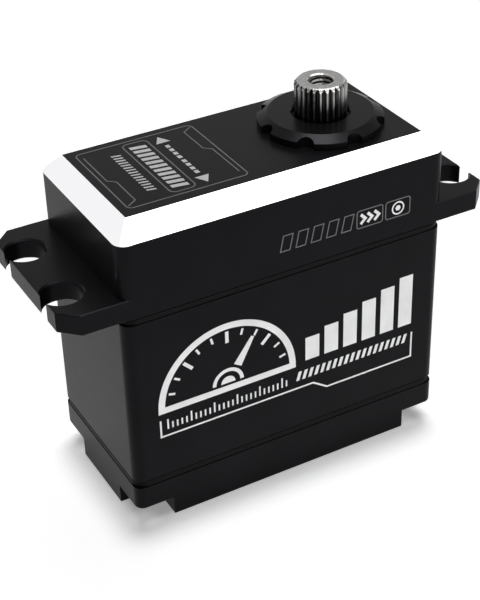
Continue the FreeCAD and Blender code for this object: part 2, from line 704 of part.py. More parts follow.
# ================================================================================================
# output shaft and bearings
# ================================================================================================
def spline():
    """Straight teeth with flat tips and roots, chamfered at the top."""
    step = 2 * math.pi / SPLINE_TEETH
    crest = SPLINE_VALLEY + SPLINE_FLANK
    corners = [
        (SPLINE_ROOT, 0),
        (SPLINE_ROOT, SPLINE_VALLEY),
        (SPLINE_TIP, crest),
        (SPLINE_TIP, crest + SPLINE_CREST),
    ]
    points = [polar(radius, (i + share) * step) for i in range(SPLINE_TEETH) for radius, share in corners]
    face = Part.Face(Part.makePolygon(points + points[:1]))
    teeth = face.extrude(V(0, 0, SHAFT_TOP - SPLINE_FOOT))
    teeth.translate(V(0, 0, SPLINE_FOOT))
    wide = SPLINE_TIP + SPLINE_ROOM
    cut = SPLINE_CHAMFER + SPLINE_ROOM
    envelope = revolved([
        (0, SPLINE_FOOT),
        (wide, SPLINE_FOOT),
        (wide, SHAFT_TOP - cut),
        (wide - cut, SHAFT_TOP),
        (0, SHAFT_TOP),
    ])
    teeth = teeth.common(envelope)
    teeth.translate(V(OUTPUT_X, 0, 0))
    return teeth


def d_shaft(radius, flat, foot, top):
    """A round bar with a flat at this distance from its axis."""
    bar = cylinder(radius, foot, top, OUTPUT_X)
    return bar.cut(box(OUTPUT_X + flat, OUTPUT_X + radius, -radius, radius, foot, top))


def output_shaft():
    plain = [
        cylinder(GEAR_SEAT_RADIUS, GEAR_SEAT_FOOT, UPPER_BEARING["foot"], OUTPUT_X),
        cylinder(UPPER_JOURNAL_RADIUS, UPPER_BEARING["foot"], SPLINE_FOOT, OUTPUT_X),
        spline(),
    ]
    body = cylinder(JOURNAL_RADIUS, SHAFT_FOOT, GEAR_SEAT_FOOT, OUTPUT_X).fuse(plain)
    wide = HORN_BORE + HORN_COUNTERSINK
    rim = V(OUTPUT_X, 0, SHAFT_TOP - HORN_COUNTERSINK)
    countersink = Part.makeCone(HORN_BORE, wide, HORN_COUNTERSINK, rim)
    socket = d_shaft(SENSOR_SHAFT_RADIUS + RUNNING, SENSOR_FLAT + RUNNING, SHAFT_FOOT, SENSOR_SOCKET_TOP)
    bore = cylinder(HORN_BORE, SHAFT_TOP - HORN_BORE_DEPTH, SHAFT_TOP, OUTPUT_X)
    return body.cut([bore, countersink, socket])


def output_stop_pin():
    return cylinder(STOP_PIN_RADIUS, STOP_PIN_FOOT, STOP_PIN_TOP, OUTPUT_X + STOP_PIN_REACH)


def output_spacer():
    return tube(SPACER_RADIUS, JOURNAL_RADIUS, LOWER_BEARING["top"], SPACER_TOP, OUTPUT_X)


def ball_circle(bearing):
    return (bearing["bore"] + bearing["outer"]) / 2


def race_groove(bearing):
    height = (bearing["foot"] + bearing["top"]) / 2
    return Part.makeTorus(ball_circle(bearing), bearing["ball"] + BALL_CLEARANCE, V(OUTPUT_X, 0, height))


def outer_race(bearing):
    inner = bearing["outer"] - bearing["race"]
    ring = tube(bearing["outer"], inner, bearing["foot"], bearing["top"], OUTPUT_X)
    return ring.cut(race_groove(bearing))


def inner_race(bearing):
    outer = bearing["bore"] + bearing["race"]
    ring = tube(outer, bearing["bore"], bearing["foot"], bearing["top"], OUTPUT_X)
    return ring.cut(race_groove(bearing))


def ball_places(bearing):
    """The direction of each ball from the shaft's axis, and its centre."""
    height = (bearing["foot"] + bearing["top"]) / 2
    found = []
    for i in range(bearing["count"]):
        outward = polar(1.0, 2 * math.pi * i / bearing["count"])
        found.append((outward, V(OUTPUT_X, 0, height) + outward * ball_circle(bearing)))
    return found


def balls(bearing):
    return Part.makeCompound([Part.makeSphere(bearing["ball"], centre) for _, centre in ball_places(bearing)])


def cage(bearing):
    """A thin band with a round window for each ball."""
    middle = ball_circle(bearing)
    height = (bearing["foot"] + bearing["top"]) / 2
    half = bearing["ball"] + CAGE_RIM
    ring = tube(middle + CAGE_HALF, middle - CAGE_HALF, height - half, height + half, OUTPUT_X)
    window = bearing["ball"] + CAGE_CLEARANCE
    cuts = []
    for outward, centre in ball_places(bearing):
        cuts.append(Part.makeCylinder(window, 4 * CAGE_HALF, centre - outward * 2 * CAGE_HALF, outward))
    return ring.cut(cuts)


# ================================================================================================
# motor
# ================================================================================================
def motor_can():
    shell = cylinder(MOTOR_RADIUS, CAN_FOOT, DECK_FOOT, MOTOR_X)
    shell = shell.makeFillet(CAN_EDGE, edges_at(shell, DECK_FOOT))
    shell = shell.fuse(cylinder(MOTOR_BOSS_RADIUS, DECK_FOOT, MOTOR_BOSS_TOP, MOTOR_X))
    cuts = [
        cylinder(MOTOR_RADIUS - MOTOR_WALL, CAN_FOOT, CAN_PLATE, MOTOR_X),
        cylinder(BUSHING_RADIUS, CAN_PLATE, MOTOR_BOSS_TOP, MOTOR_X),
    ]
    for y in (-MOTOR_SCREW_REACH, MOTOR_SCREW_REACH):
        cuts.append(cylinder(MOTOR_SCREW_RADIUS, CAN_PLATE, DECK_FOOT, MOTOR_X, y))
    return shell.cut(cuts)


def motor_screws():
    found = []
    length, width, depth = MOTOR_SCREW_CROSS
    x = MOTOR_X
    floor = MOTOR_SCREW_TOP - depth
    for y in (-MOTOR_SCREW_REACH, MOTOR_SCREW_REACH):
        shank = cylinder(MOTOR_SCREW_RADIUS, MOTOR_SCREW_FOOT, MOTOR_SCREW_SEAT, x, y)
        head = cylinder(MOTOR_SCREW_HEAD, MOTOR_SCREW_SEAT, MOTOR_SCREW_TOP, x, y)
        along = box(x - length, x + length, y - width, y + width, floor, MOTOR_SCREW_TOP)
        across = box(x - width, x + width, y - length, y + length, floor, MOTOR_SCREW_TOP)
        found.append(shank.fuse(head).cut([along, across]))
    return Part.makeCompound(found)


def motor_front_bushing():
    return tube(BUSHING_RADIUS, BUSHING_BORE, FRONT_BUSHING_FOOT, MOTOR_BOSS_TOP, MOTOR_X)


def motor_rear_bushing():
    return tube(BUSHING_RADIUS, BUSHING_BORE, *REAR_BUSHING, MOTOR_X)


def motor_magnets():
    found = []
    foot, top = MAGNET
    for side in (0, 180):
        arc_solid = Part.makeCylinder(MOTOR_RADIUS - MOTOR_WALL, top - foot, V(0, 0, foot), UP, MAGNET_SPAN)
        arc_solid = arc_solid.cut(cylinder(MAGNET_INNER, foot, top))
        arc_solid.rotate(V(0, 0, 0), UP, side - MAGNET_SPAN / 2)
        arc_solid.translate(V(MOTOR_X, 0, 0))
        found.append(arc_solid)
    return Part.makeCompound(found)


def terminal_strips():
    a, b = TERMINAL_HALF
    rows = (-TERMINAL_Y, TERMINAL_Y)
    return [box(MOTOR_X - a, MOTOR_X + a, y - b, y + b, BOARD[1], TERMINAL_TOP) for y in rows]


def motor_end_cap():
    cap = cylinder(MOTOR_RADIUS, MOTOR_FOOT, CAN_FOOT, MOTOR_X)
    cap = cap.fuse(cylinder(MOTOR_RADIUS - MOTOR_WALL, CAN_FOOT, CAN_FOOT + END_CAP_SPIGOT, MOTOR_X))
    seat = cylinder(BUSHING_RADIUS, REAR_BUSHING[0], CAN_FOOT + END_CAP_SPIGOT, MOTOR_X)
    return cap.cut([seat] + terminal_strips())


def motor_terminals():
    return Part.makeCompound(terminal_strips())


def motor_brushes():
    """Two carbon blocks on the commutator, each with the leaf that joins it to its terminal."""
    found = []
    start, back, end = BRUSH_REACH
    block = box(-BRUSH_HALF, BRUSH_HALF, start, back, *BRUSH).cut(cylinder(start, *BRUSH))
    brush = block.fuse(box(-BRUSH_LEAF_HALF, BRUSH_LEAF_HALF, back, end, *BRUSH_LEAF))
    for angle in (0, 180):
        copy = brush.copy()
        copy.rotate(V(0, 0, 0), UP, angle)
        copy.translate(V(MOTOR_X, 0, 0))
        found.append(copy)
    return Part.makeCompound(found)


def motor_shaft():
    shaft = cylinder(MOTOR_SHAFT_RADIUS, MOTOR_SHAFT_FOOT, MOTOR_PINION[1], MOTOR_X)
    return shaft.makeChamfer(EDGE_BREAK, edges_at(shaft, MOTOR_PINION[1]))


def around_armature(solid):
    """The same solid once on each pole."""
    found = []
    for i in range(POLES):
        copy = solid.copy()
        copy.rotate(V(0, 0, 0), UP, i * 360 / POLES)
        copy.translate(V(MOTOR_X, 0, 0))
        found.append(copy)
    return found


def armature_core():
    foot, top = ARMATURE
    hub = tube(CORE_HUB, MOTOR_SHAFT_RADIUS, foot, top, MOTOR_X)
    shoe = Part.makeCylinder(ARMATURE_RADIUS, top - foot, V(0, 0, foot), UP, SHOE_SPAN)
    shoe = shoe.cut(cylinder(SHOE_INNER, foot, top))
    shoe.rotate(V(0, 0, 0), UP, -SHOE_SPAN / 2)
    return hub.fuse(around_armature(armature_spoke().fuse(shoe))).removeSplitter()


def armature_spoke():
    return box(*SPOKE_REACH, -SPOKE_HALF, SPOKE_HALF, *ARMATURE)


def armature_windings():
    foot, top = ARMATURE
    coil = box(*COIL_REACH, -COIL_HALF, COIL_HALF, foot - COIL_END, top + COIL_END)
    coil = coil.makeFillet(COIL_EDGE, coil.Edges)
    return Part.makeCompound(around_armature(coil.cut(armature_spoke())))


def commutator():
    inner, half = COMMUTATOR_SLIT
    body = tube(COMMUTATOR_RADIUS, MOTOR_SHAFT_RADIUS, *COMMUTATOR, MOTOR_X)
    slit = box(inner, COMMUTATOR_RADIUS, -half, half, *COMMUTATOR)
    return body.cut(around_armature(slit))


# ================================================================================================
# position sensor
# ================================================================================================
def sensor_tabs():
    foot = SENSOR[0] + SENSOR_TAB[0]
    top = foot + SENSOR_TAB[1]
    start = OUTPUT_X + SENSOR_RADIUS - SENSOR_WALL
    end = OUTPUT_X + SENSOR_TAB_REACH
    return [box(start, end, y - SENSOR_TAB_HALF, y + SENSOR_TAB_HALF, foot, top) for y in SENSOR_ROWS]


def sensor_housing():
    body = cylinder(SENSOR_RADIUS, *SENSOR, OUTPUT_X)
    inner = SENSOR_RADIUS - SENSOR_WALL
    ceiling = SENSOR[1] - SENSOR_PLATE
    hollow = cylinder(inner, SENSOR[0] + SENSOR_PLATE, ceiling, OUTPUT_X)
    return body.cut([hollow, cylinder(SENSOR_BORE, ceiling, SENSOR[1], OUTPUT_X)] + sensor_tabs())


def sensor_terminals():
    return Part.makeCompound(sensor_tabs())


def sensor_track():
    foot = SENSOR[0] + SENSOR_PLATE
    return tube(TRACK[1], TRACK[0], foot, foot + TRACK_THICKNESS, OUTPUT_X)


def sensor_wiper():
    carrier = cylinder(WIPER_RADIUS, *WIPER_CARRIER, OUTPUT_X)
    lower = cylinder(SENSOR_SHAFT_RADIUS, WIPER_FOOT, WIPER_NECK, OUTPUT_X)
    return lower.fuse([carrier, d_shaft(SENSOR_SHAFT_RADIUS, SENSOR_FLAT, WIPER_NECK, SENSOR_SHAFT_TOP)])


def sensor_contact():
    """The sprung finger under the carrier that runs on the track."""
    near, far = CONTACT_ARM
    top = WIPER_CARRIER[0]
    middle = OUTPUT_X - CONTACT_TIP_REACH
    foot = top - CONTACT_THICKNESS
    arm = box(OUTPUT_X - far, OUTPUT_X - near, -CONTACT_HALF, CONTACT_HALF, foot, top)
    tip = Part.makeSphere(CONTACT_TIP_RADIUS, V(middle, 0, CONTACT_TIP_HEIGHT))
    return arm.fuse(tip.fuse(cylinder(CONTACT_STEM, CONTACT_TIP_HEIGHT, top - CONTACT_THICKNESS / 2, middle)))


def rounded_route(points, radius):
    """Straight runs joined by tangent arcs of one radius."""
    edges = []
    start = points[0]
    for before, corner, after in zip(points, points[1:], points[2:]):
        back = (before - corner).normalize()
        on = (after - corner).normalize()
        half = back.getAngle(on) / 2
        reach = radius / math.tan(half)
        centre = corner + (back + on).normalize() * (radius / math.sin(half))
        first = corner + back * reach
        last = corner + on * reach
        middle = centre + (corner - centre).normalize() * radius
        edges.append(Part.makeLine(start, first))
        edges.append(arc(first, middle, last))
        start = last
    edges.append(Part.makeLine(start, points[-1]))
    return Part.Wire(edges)


def sensor_wires():
    """The three leads from the sensor's terminals down to the circuit board."""
    found = []
    for y in SENSOR_ROWS:
        points = [
            V(WIRE_X, y, SENSOR[0] + SENSOR_TAB[0]),
            V(WIRE_X, y, 12.5),
            V(WIRE_X + WIRE_BULGE, y, 9.0),
            V(WIRE_X, y, BOARD[1]),
        ]
        route = rounded_route(points, WIRE_BEND)
        section = Part.Wire(Part.makeCircle(WIRE_RADIUS, points[0], V(0, 0, -1)))
        pipe = route.makePipeShell([section], True, True)
        found.append(pipe.cut(box(WIRE_X - 2, WIRE_X + 2, y - 1, y + 1, *BOARD)))
    return Part.makeCompound(found)


# ================================================================================================
# electronics
# ================================================================================================
def circuit_board():
    board = box(-BOARD_LENGTH / 2, BOARD_LENGTH / 2, -BOARD_WIDTH / 2, BOARD_WIDTH / 2, *BOARD)
    return board.cut([cylinder(BOARD_CORNER, *BOARD, x, y) for x, y in at_corners(SCREW_X, SCREW_Y)])


def chip(x, y, length, width, height, side=-1):
    """A package centred at x, y, under the board, or on top of it if side is 1."""
    face = BOARD[0] - height if side < 0 else BOARD[1]
    return box(x - length / 2, x + length / 2, y - width / 2, y + width / 2, face, face + height)


def control_chip():
    return chip(*CONTROL_CHIP)


def power_transistors():
    return Part.makeCompound([chip(x, y, *TRANSISTOR_SIZE) for x in TRANSISTOR_X for y in TRANSISTOR_Y])


def board_passives():
    """Small resistors and capacitors round the larger packages, on both faces of the board."""
    under = [chip(x, y, *PASSIVE_UNDER) for x in PASSIVE_UNDER_X for y in PASSIVE_UNDER_Y]
    above = [chip(x, PASSIVE_ABOVE_Y, *PASSIVE_ABOVE, 1) for x in PASSIVE_ABOVE_X]
    return Part.makeCompound(under + above)


def filter_capacitor():
    can = cylinder(CAPACITOR_RADIUS, BOARD[1], CAPACITOR_TOP, *CAPACITOR)
    return can.makeFillet(CAPACITOR_EDGE, edges_at(can, CAPACITOR_TOP))


def lead_pads():
    """Where the three conductors of the lead are soldered to the board, by the inlet."""
    return Part.makeCompound([chip(PAD_X, y, *PAD_SIZE, 1) for y in PAD_Y])


PIECES = {
    "upper_case": upper_case,
    "middle_case": middle_case,
    "bottom_cover": bottom_cover,
    "upper_gasket": upper_gasket,
    "lower_gasket": lower_gasket,
    "case_screws": case_screws,
    "shaft_retainer_ring": shaft_retainer_ring,
    "shaft_oil_seal": shaft_oil_seal,
    "cable_grommet": cable_grommet,
    "output_shaft": output_shaft,
    "output_gear": output_gear,
    "output_stop_pin": output_stop_pin,
    "output_spacer": output_spacer,
    "upper_bearing_outer_race": lambda: outer_race(UPPER_BEARING),
    "upper_bearing_inner_race": lambda: inner_race(UPPER_BEARING),
    "upper_bearing_balls": lambda: balls(UPPER_BEARING),
    "upper_bearing_cage": lambda: cage(UPPER_BEARING),
    "lower_bearing_outer_race": lambda: outer_race(LOWER_BEARING),
    "lower_bearing_inner_race": lambda: inner_race(LOWER_BEARING),
    "lower_bearing_balls": lambda: balls(LOWER_BEARING),
    "lower_bearing_cage": lambda: cage(LOWER_BEARING),
    "gear_pin": gear_pin,
    "gear_pin_washers": gear_pin_washers,
    "first_gear_wheel": first_gear_wheel,
    "first_gear_pinion": first_gear_pinion,
    "second_gear_wheel": second_gear_wheel,
    "second_gear_pinion": second_gear_pinion,
    "third_gear_wheel": third_gear_wheel,
    "third_gear_pinion": third_gear_pinion,
    "motor_can": motor_can,
    "motor_screws": motor_screws,
    "motor_front_bushing": motor_front_bushing,
    "motor_rear_bushing": motor_rear_bushing,
    "motor_magnets": motor_magnets,
    "motor_end_cap": motor_end_cap,
    "motor_terminals": motor_terminals,
    "motor_brushes": motor_brushes,
    "motor_shaft": motor_shaft,
    "motor_pinion": motor_pinion,
    "armature_core": armature_core,
    "armature_windings": armature_windings,
    "commutator": commutator,
    "sensor_housing": sensor_housing,
    "sensor_terminals": sensor_terminals,
    "sensor_track": sensor_track,
    "sensor_wiper": sensor_wiper,
    "sensor_contact": sensor_contact,
    "sensor_wires": sensor_wires,
    "circuit_board": circuit_board,
    "control_chip": control_chip,
    "power_transistors": power_transistors,
    "board_passives": board_passives,
    "filter_capacitor": filter_capacitor,
    "lead_pads": lead_pads,
}

os.makedirs("parts", exist_ok=True)
for name, make in PIECES.items():
    shape = make()
    if not shape.isValid() or not shape.Solids:
        raise ValueError(name + " is not a valid solid")
    piece = shape.Solids[0] if len(shape.Solids) == 1 else shape
    piece.exportStep("parts/" + name + ".step")
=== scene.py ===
import json
import math

import bmesh
import bpy
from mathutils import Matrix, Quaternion, Vector

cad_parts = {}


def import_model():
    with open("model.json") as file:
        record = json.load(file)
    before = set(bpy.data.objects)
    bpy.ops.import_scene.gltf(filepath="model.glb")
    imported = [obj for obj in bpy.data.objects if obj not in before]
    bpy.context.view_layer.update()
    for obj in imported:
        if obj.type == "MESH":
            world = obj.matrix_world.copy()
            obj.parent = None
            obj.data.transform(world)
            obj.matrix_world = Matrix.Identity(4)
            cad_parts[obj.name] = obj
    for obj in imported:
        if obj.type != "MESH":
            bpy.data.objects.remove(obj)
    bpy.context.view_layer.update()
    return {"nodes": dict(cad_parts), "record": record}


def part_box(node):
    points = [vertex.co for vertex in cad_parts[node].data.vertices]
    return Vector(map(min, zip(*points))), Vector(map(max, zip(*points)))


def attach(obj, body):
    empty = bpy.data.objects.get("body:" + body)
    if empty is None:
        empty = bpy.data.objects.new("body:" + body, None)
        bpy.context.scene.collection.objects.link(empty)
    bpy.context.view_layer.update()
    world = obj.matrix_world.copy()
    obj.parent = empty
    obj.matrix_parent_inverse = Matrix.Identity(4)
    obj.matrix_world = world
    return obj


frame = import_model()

# The looks of a hobby servo: finishes for its CAD parts, the marks printed on its case, and a studio.
# Everything is in metres and +Z is up. The front, with the large mark, faces -Y.
MM = 0.001
BODY = "case"                       # the body that carries the printed marks
NODES = frame["nodes"]
THREAD_PITCH = 0.5 * MM
BORE_RADIUS = 1.4 * MM              # just over the bore of the shaft
SPLINE_INSIDE = 2.4 * MM            # between the bore and the roots of the spline
SPLINE_ROOT = 2.66 * MM
SPLINE_TIP = 2.97 * MM
SPLINE_RIM = 0.15 * MM              # height of the plain chamfered edge at the shaft's top
CREST_SHADE_FULL = 2.8 * MM               # painted shade on the crests is deepest this far below the top, and gone above the next
CREST_SHADE_GONE = 1.2 * MM
BEVEL_DEPTH = 2.2 * MM              # the bright cut lies within this far of the upper case's top
BEVEL_SLOPE = 0.707                 # height of the cut's normal
BEVEL_SLOPE_SPREAD = 0.12
BRIGHT_CUT = (("Base Color", (0.91, 0.91, 0.92, 1.0)), ("Metallic", 1.0), ("Roughness", 0.3))
NOISE_SPAN = (0.3, 0.7)             # where nearly all of a noise texture's values lie
SHAFT_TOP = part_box("output_shaft")[1].z
SHAFT_X = sum(corner.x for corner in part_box("output_shaft")) / 2
COLOURS = {entry["slot"]: entry["base_color"] for entry in frame["record"]["materials"]}


# ---------------------------------------------------------------------------------------------
# node helpers
# ---------------------------------------------------------------------------------------------
class Shader:
    """A material under construction, with short calls for the nodes that it needs."""

    def __init__(self, name, **sockets):
        self.material = bpy.data.materials.new(name)
        self.material.use_nodes = True
        self.tree = self.material.node_tree
        self.bsdf = self.tree.nodes["Principled BSDF"]
        for socket, value in sockets.items():
            self.bsdf.inputs[socket.replace("_", " ")].default_value = value

    def node(self, kind, settings=None, **inputs):
        made = self.tree.nodes.new(kind)
        for key, value in (settings or {}).items():
            setattr(made, key, value)
        for key, value in inputs.items():
            self.feed(made.inputs[key.replace("_", " ")], value)
        return made

    def feed(self, socket, value):
        if isinstance(value, bpy.types.NodeSocket):
            self.tree.links.new(value, socket)
        else:
            socket.default_value = value

    def set(self, socket, value):
        self.feed(self.bsdf.inputs[socket], value)

    def math(self, operation, a, b=0.0, clamp=False):
        made = self.node("ShaderNodeMath", {"operation": operation, "use_clamp": clamp})
        self.feed(made.inputs[0], a)
        self.feed(made.inputs[1], b)
        return made.outputs[0]

    def position(self):
        """Where the surface is, in the object's own frame, in metres."""
        return self.node("ShaderNodeTexCoord").outputs["Object"]

    def noise(self, scale, detail=2.0, stretch=None):
        vector = self.position()
        if stretch:
            vector = self.node("ShaderNodeMapping", Vector=vector, Scale=stretch).outputs[0]
        made = self.node("ShaderNodeTexNoise", Vector=vector, Scale=scale, Detail=detail)
        return made.outputs["Fac"]

    def remap(self, value, low, high, start=0.0, end=1.0):
        made = self.node("ShaderNodeMapRange", {"clamp": True}, Value=value)
        for socket, number in (("From Min", start), ("From Max", end), ("To Min", low), ("To Max", high)):
            made.inputs[socket].default_value = number
        return made.outputs["Result"]

    def mix(self, factor, a, b):
        made = self.node("ShaderNodeMix", {"data_type": "RGBA"})
        self.feed(made.inputs["Factor"], factor)
        colour_a, colour_b, colour_result = 6, 7, 2
        self.feed(made.inputs[colour_a], a)
        self.feed(made.inputs[colour_b], b)
        return made.outputs[colour_result]

    def bump(self, height, strength, distance):
        made = self.node("ShaderNodeBump", Height=height, Strength=strength, Distance=distance)
        self.set("Normal", made.outputs[0])


def rgba(colour, gain):
    return tuple(min(1.0, channel * gain) for channel in colour[:3]) + (1.0,)


# ---------------------------------------------------------------------------------------------
# materials
# ---------------------------------------------------------------------------------------------
def anodised(name, colour, roughness=0.32):
    """Bead-blasted and dyed aluminium: a fine even grain and slow, faint changes of tone."""
    shader = Shader(name, Metallic=0.0, Specular_IOR_Level=0.07, Specular_Tint=(0.9, 0.9, 1.0, 1.0))
    slow = shader.remap(shader.noise(scale=180.0), 0.0, 1.0, *NOISE_SPAN)
    shader.set("Base Color", shader.mix(slow, rgba(colour, gain=0.16), rgba(colour, gain=0.24)))
    grain = shader.noise(scale=9000.0, detail=3.0)
    shader.set("Roughness", shader.remap(grain, roughness - 0.05, roughness + 0.07, *NOISE_SPAN))
    shader.bump(grain, strength=0.12, distance=0.02 * MM)
    return shader


def bevelled_case(name, colour):
    """The anodised case with its bright-cut top edge, the only face up there that slopes at 45 degrees."""
    shader = anodised(name, colour)
    bevel_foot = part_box("upper_case")[1].z - BEVEL_DEPTH
    split = shader.node("ShaderNodeSeparateXYZ", Vector=shader.position())
    high = shader.math("GREATER_THAN", split.outputs["Z"], bevel_foot)
    normal = shader.node("ShaderNodeNewGeometry").outputs["True Normal"]
    slope = shader.node("ShaderNodeSeparateXYZ", Vector=normal).outputs["Z"]
    off_slope = shader.math("ABSOLUTE", shader.math("SUBTRACT", slope, BEVEL_SLOPE))
    sloping = shader.math("LESS_THAN", off_slope, BEVEL_SLOPE_SPREAD)
    mask = shader.math("MULTIPLY", high, sloping)
    for socket, bright in BRIGHT_CUT:
        target = shader.bsdf.inputs[socket]
        dull = target.links[0].from_socket if target.is_linked else target.default_value
        if socket == "Base Color":
            shader.set(socket, shader.mix(mask, dull, bright))
        else:
            keep = shader.math("MULTIPLY", shader.math("SUBTRACT", 1.0, mask), dull)
            shader.set(socket, shader.math("ADD", keep, shader.math("MULTIPLY", mask, bright)))
    return shader


def machined(name, colour, roughness=0.25, lines=(1.0, 1.0, 30.0), scale=700.0):
    """Turned or milled metal, with fine tool marks along one direction."""
    shader = Shader(name, Metallic=1.0)
    marks = shader.noise(scale, detail=3.0, stretch=lines)
    shader.set("Base Color", shader.mix(marks, rgba(colour, gain=0.82), rgba(colour, gain=1.08)))
    shader.set("Roughness", shader.remap(marks, roughness - 0.07, roughness + 0.1, *NOISE_SPAN))
    shader.bump(marks, strength=0.1, distance=0.01 * MM)
    return shader


def splined(name, colour):
    """Hardened steel with a thread bumped into its bore. Painted shade darkens its grooves, its bore and the
    low part of its crests.
    """
    shader = Shader(name, Metallic=1.0)
    split = shader.node("ShaderNodeSeparateXYZ", Vector=shader.position())
    across = shader.math("SUBTRACT", split.outputs["X"], SHAFT_X)
    spread = [shader.math("POWER", side, 2.0) for side in (across, split.outputs["Y"])]
    radius = shader.math("SQRT", shader.math("ADD", *spread))
    marks = shader.noise(scale=2500.0, detail=3.0, stretch=(1.0, 1.0, 0.04))
    tip = shader.mix(marks, rgba(colour, gain=0.45), rgba(colour, gain=0.68))
    # painted shade in the grooves, darker towards the roots of the teeth
    out_of_groove = shader.remap(radius, 0.0, 1.0, SPLINE_ROOT, SPLINE_TIP)
    # painted shade down the crests: the steel darkens towards their lower part
    height = shader.remap(split.outputs["Z"], 0.0, 1.0, SHAFT_TOP - CREST_SHADE_FULL, SHAFT_TOP - CREST_SHADE_GONE)
    shaded_crest = shader.mix(height, rgba(colour, gain=0.2), tip)
    below_rim = shader.math("LESS_THAN", split.outputs["Z"], SHAFT_TOP - SPLINE_RIM)
    outside = shader.math("MULTIPLY", shader.math("GREATER_THAN", radius, SPLINE_INSIDE), below_rim)
    groove = shader.math("MULTIPLY", outside, shader.math("SUBTRACT", 1.0, out_of_groove))
    toothed = shader.mix(outside, tip, shaded_crest)
    # the bore gets painted shade as well as the thread's bump
    inside = shader.math("LESS_THAN", radius, BORE_RADIUS)
    painted_shade = shader.math("ADD", groove, shader.math("MULTIPLY", inside, 0.8), clamp=True)
    # the painted shade takes the steel nearly to black
    shader.set("Base Color", shader.mix(painted_shade, toothed, rgba(colour, gain=0.05)))
    shader.set("Roughness", shader.remap(marks, 0.16, 0.3, *NOISE_SPAN))
    turn = shader.math("ARCTAN2", split.outputs["Y"], across)
    rise = shader.math("DIVIDE", split.outputs["Z"], THREAD_PITCH)
    winding = shader.math("ADD", rise, shader.math("DIVIDE", turn, 2 * math.pi))
    ridge = shader.math("PINGPONG", winding, 0.5)
    shader.bump(shader.math("MULTIPLY", ridge, inside), strength=1.0, distance=THREAD_PITCH)
    return shader


def moulded(name, colour, roughness=0.5):
    """Plastic, rubber or ceramic with a fine moulded grain."""
    shader = Shader(name, Metallic=0.0)
    slow = shader.noise(scale=300.0)
    shader.set("Base Color", shader.mix(slow, rgba(colour, gain=0.85), rgba(colour, gain=1.15)))
    fine = shader.noise(scale=5000.0, detail=3.0)
    shader.set("Roughness", shader.remap(fine, roughness - 0.08, roughness + 0.08, *NOISE_SPAN))
    shader.bump(fine, strength=0.15, distance=0.02 * MM)
    return shader


MAKERS = {
    "black_anodised": anodised,
    "ring_black": lambda name, colour: anodised(name, colour, 0.27),
    "gasket_rubber": lambda name, colour: anodised(name, colour, 0.5),
    "seal_rubber": lambda name, colour: moulded(name, colour, 0.35),
    "black_oxide_steel": lambda name, colour: machined(name, colour, 0.35),
    "steel": machined,
    "bearing_steel": lambda name, colour: machined(name, colour, 0.12),
    "gear_aluminium": lambda name, colour: machined(name, colour, 0.3),
    "cage_brass": machined,
    "bushing_bronze": lambda name, colour: machined(name, colour, 0.45),
    "can_steel": lambda name, colour: machined(name, colour, 0.22),
    "magnet": moulded,
    "lamination": lambda name, colour: machined(name, colour, 0.35, (1.0, 1.0, 6.0), 1500.0),
    "copper": lambda name, colour: machined(name, colour, 0.28, (1.0, 1.0, 8.0), 900.0),
    "carbon": moulded,
    "nylon_black": moulded,
    "nylon_white": moulded,
    "track_carbon": moulded,
    "tinned": machined,
    "board_green": lambda name, colour: moulded(name, colour, 0.3),
    "chip_black": moulded,
    "passive_tan": moulded,
    "capacitor_can": lambda name, colour: machined(name, colour, 0.3),
    "wire_red": lambda name, colour: moulded(name, colour, 0.35),
    "white_ink": lambda name, colour: moulded(name, colour, 0.55),
}


def paint_nodes():
    """Gives each CAD node its slot's material, or its own one."""
    made = {slot: MAKERS[slot](slot, colour).material for slot, colour in COLOURS.items()}
    for part in frame["record"]["subparts"]:
        node = NODES[part["node"]]
        node.data.materials.clear()
        node.data.materials.append(made[part["material_slot"]])
    own = {
        "upper_case": bevelled_case("bright_edged_case", COLOURS["black_anodised"]),
        "output_shaft": splined("splined_steel", COLOURS["steel"]),
    }
    for node, shader in own.items():
        NODES[node].data.materials[0] = shader.material
    return made


MATERIALS = paint_nodes()


# ---------------------------------------------------------------------------------------------
# printed marks
# ---------------------------------------------------------------------------------------------
INK_HEIGHT = 0.015 * MM
INK_ROOT = 0.01 * MM
THIN = 0.12                         # width of the finest lines, in millimetres
MARKS = []


def on_circle(centre, radius, degrees):
    """The point on a circle at that many degrees from the right, anticlockwise."""
    turn = math.radians(degrees)
    return Vector((centre[0] + radius * math.cos(turn), centre[1] + radius * math.sin(turn)))


def arc_points(centre, radius, start, end, steps):
    return [on_circle(centre, radius, start + (end - start) * i / steps) for i in range(steps + 1)]


def rounded_outline(left, low, right, high, radius, steps=6):
    """The corners of a rectangle, each as an arc, anticlockwise."""
    points = []
    centres = ((right - radius, high - radius), (left + radius, high - radius),
               (left + radius, low + radius), (right - radius, low + radius))
    for quarter, centre in enumerate(centres):
        points += arc_points(centre, radius, 90 * quarter, 90 * quarter + 90, steps)
    return points


